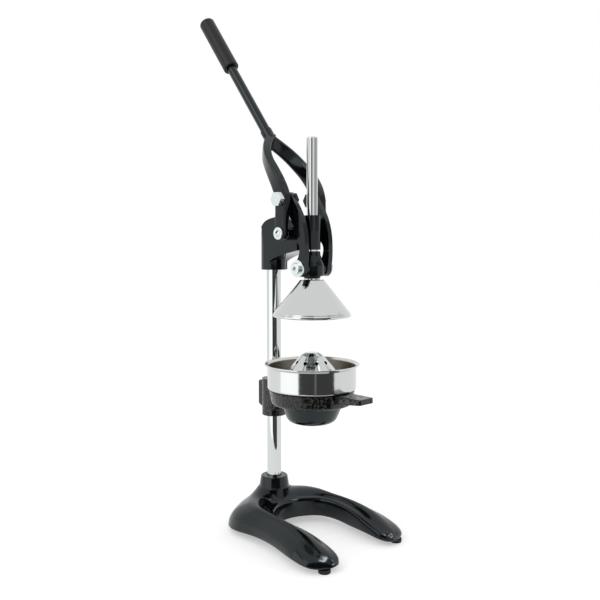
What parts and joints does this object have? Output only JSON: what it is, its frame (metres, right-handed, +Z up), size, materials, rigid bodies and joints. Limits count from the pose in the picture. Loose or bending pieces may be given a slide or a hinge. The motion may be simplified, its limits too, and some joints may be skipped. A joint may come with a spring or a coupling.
{
  "type": "manual citrus juicer",
  "caption": "Free-standing manual lever juicer: forked hand lever and crescent links drive a vertical ram whose cone presses fruit on a fluted reamer in a cup on a sliding bracket.",
  "frame": {"origin": "on the bench, under the middle of the whole object's outline in plan", "axes": "+Z up along the post, -Y forward, towards the user and the open end of the base"},
  "size_m": [0.1992, 0.3649, 0.8029],
  "materials": {
    "black enamel": "glossy black enamel over cast iron",
    "textured black": "fine textured black powder coat over cast iron",
    "chrome": "bright chrome plate",
    "polished stainless": "polished stainless sheet",
    "zinc plate": "bright zinc plated steel",
    "bronze": "sintered bronze",
    "black grip": "smooth black vinyl grip",
    "black rubber": "black rubber"
  },
  "bodies": {
    "stand": {"base_casting": "black enamel", "rubber_feet": "black rubber", "base_set_screw": "zinc plate", "post": "chrome", "head_casting": "black enamel", "head_set_screw": "zinc plate", "guide_bushes": "bronze", "fulcrum_bolts": "zinc plate", "fulcrum_washers": "zinc plate"},
    "hand_lever": {"lever_fork": "black enamel", "handle_tube": "chrome", "handle_grip": "black grip", "collar_pin": "zinc plate", "crank_bolt_near": "zinc plate", "crank_bolt_far": "zinc plate"},
    "ram": {"ram_rod": "chrome", "yoke": "black enamel", "yoke_bolts": "zinc plate", "yoke_washers": "zinc plate", "press_cone": "polished stainless", "cone_top_washer": "zinc plate", "cone_inner_washer": "zinc plate", "cone_nut": "zinc plate"},
    "near_link": {"link_near": "black enamel", "crank_nut_near": "zinc plate"},
    "far_link": {"link_far": "black enamel", "crank_nut_far": "zinc plate"},
    "bracket": {"cup_bracket": "textured black", "bracket_set_screw": "zinc plate", "juice_funnel": "black enamel"},
    "cup": {"juice_cup": "polished stainless", "reamer": "polished stainless"}
  },
  "joints": [
    {"name": "lever_pivot", "type": "hinge", "parent": "stand", "child": "hand_lever", "pos_m": [0, -0.04803, 0.45], "axis": [1, 0, 0], "range_deg": [0, 130]},
    {"name": "ram_slide", "type": "slide", "parent": "stand", "child": "ram", "axis": [0, 0, -1], "range_m": [0, 0.08133]},
    {"name": "near_link_pivot", "type": "hinge", "parent": "ram", "child": "near_link", "pos_m": [0, -0.07103, 0.3997], "axis": [1, 0, 0], "range_deg": [0, 21.2]},
    {"name": "far_link_pivot", "type": "hinge", "parent": "ram", "child": "far_link", "pos_m": [0, -0.07103, 0.3997], "axis": [1, 0, 0], "range_deg": [0, 21.2]},
    {"name": "bracket_height", "type": "slide", "parent": "stand", "child": "bracket", "axis": [0, 0, -1], "range_m": [0, 0.09]},
    {"name": "cup_lift", "type": "slide", "parent": "bracket", "child": "cup", "axis": [0, 0, 1], "range_m": [0, 0.008]}
  ],
  "couplings": [
    {"joint": "ram_slide", "follows": "lever_pivot", "m_per_rad": 0.035843},
    {"joint": "near_link_pivot", "follows": "lever_pivot", "ratio": 0.1625},
    {"joint": "far_link_pivot", "follows": "lever_pivot", "ratio": 0.1625}
  ]
}
